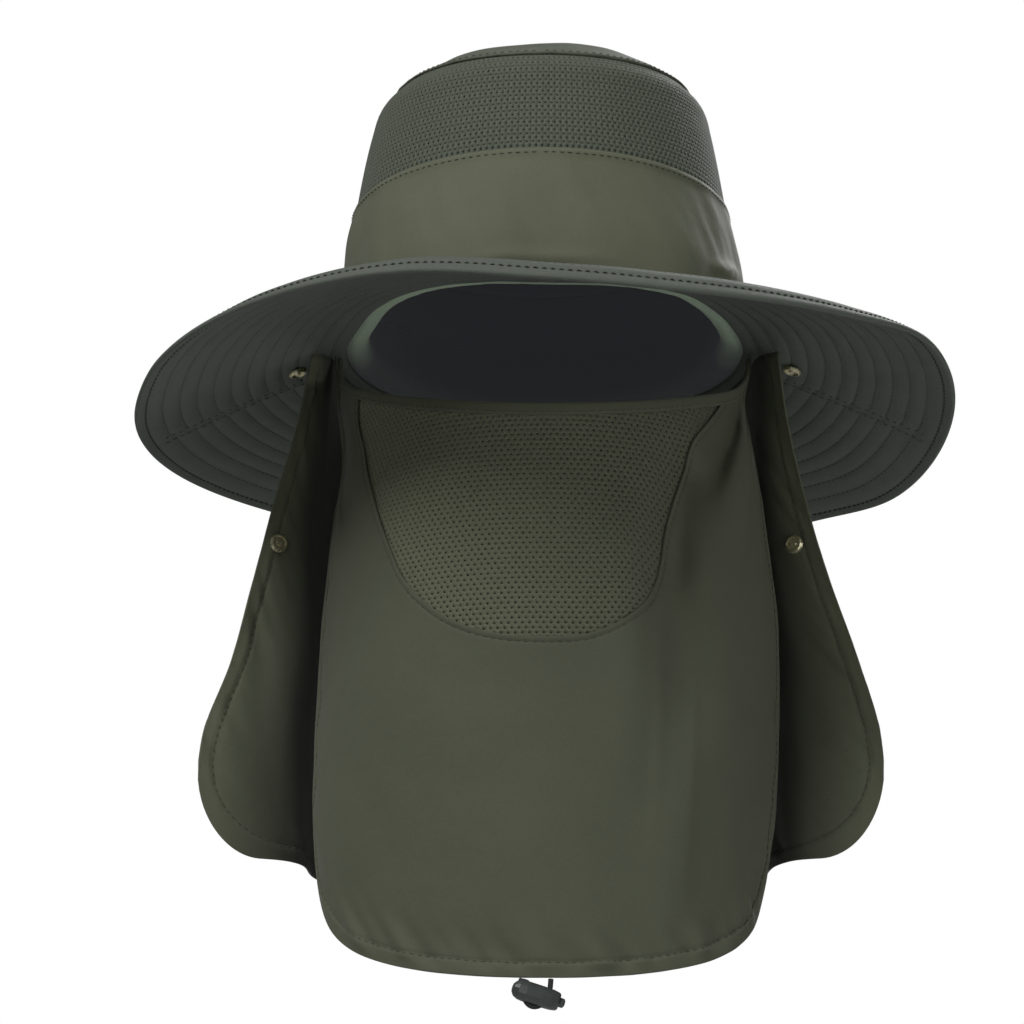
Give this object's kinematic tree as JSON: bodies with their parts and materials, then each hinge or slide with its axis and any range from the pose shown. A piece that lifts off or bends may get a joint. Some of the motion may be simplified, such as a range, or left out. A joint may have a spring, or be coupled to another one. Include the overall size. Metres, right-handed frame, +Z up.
{
  "type": "flap sun hat",
  "caption": "Wide-brimmed olive sun hat with a mesh crown band, a hanging neck flap, and a face mask with a mesh window and a cord lock at its hem",
  "frame": {"origin": "Centre of the oval head opening, at the height of the seam between crown and brim, where the hat sits on a head", "axes": "+Z up through the crown, -Y the way the wearer faces, +X to the right as seen from the front"},
  "size_m": [0.3626, 0.3866, 0.4414],
  "materials": {
    "cloth": "olive plain-woven quick-dry cloth, matt with a faint sheen",
    "mesh_cloth": "dark olive eyelet mesh",
    "sweat_tape": "pale olive sweatband tape",
    "snap_metal": "aged dark brass",
    "elastic": "black braided elastic cord",
    "lock_plastic": "dark green-black moulded plastic"
  },
  "bodies": {
    "hat": {"crown_tip": "cloth", "crown_mesh": "mesh_cloth", "crown_band": "cloth", "sweatband": "sweat_tape", "brim": "cloth", "neck_flap": "cloth", "mask_panel": "cloth", "mask_mesh": "mesh_cloth", "flap_snap_left": "snap_metal", "flap_snap_right": "snap_metal", "brim_snap_left": "snap_metal", "brim_snap_right": "snap_metal", "mask_cord": "elastic", "lock_barrel": "lock_plastic"},
    "lock_button": {"lock_button": "lock_plastic"}
  },
  "joints": [
    {"name": "lock_press", "type": "slide", "parent": "hat", "child": "lock_button", "axis": [-0.9511, 0, 0.309], "range_m": [0, 0.002], "stiffness_N_per_m": 1200, "springref_m": -0.0005}
  ]
}
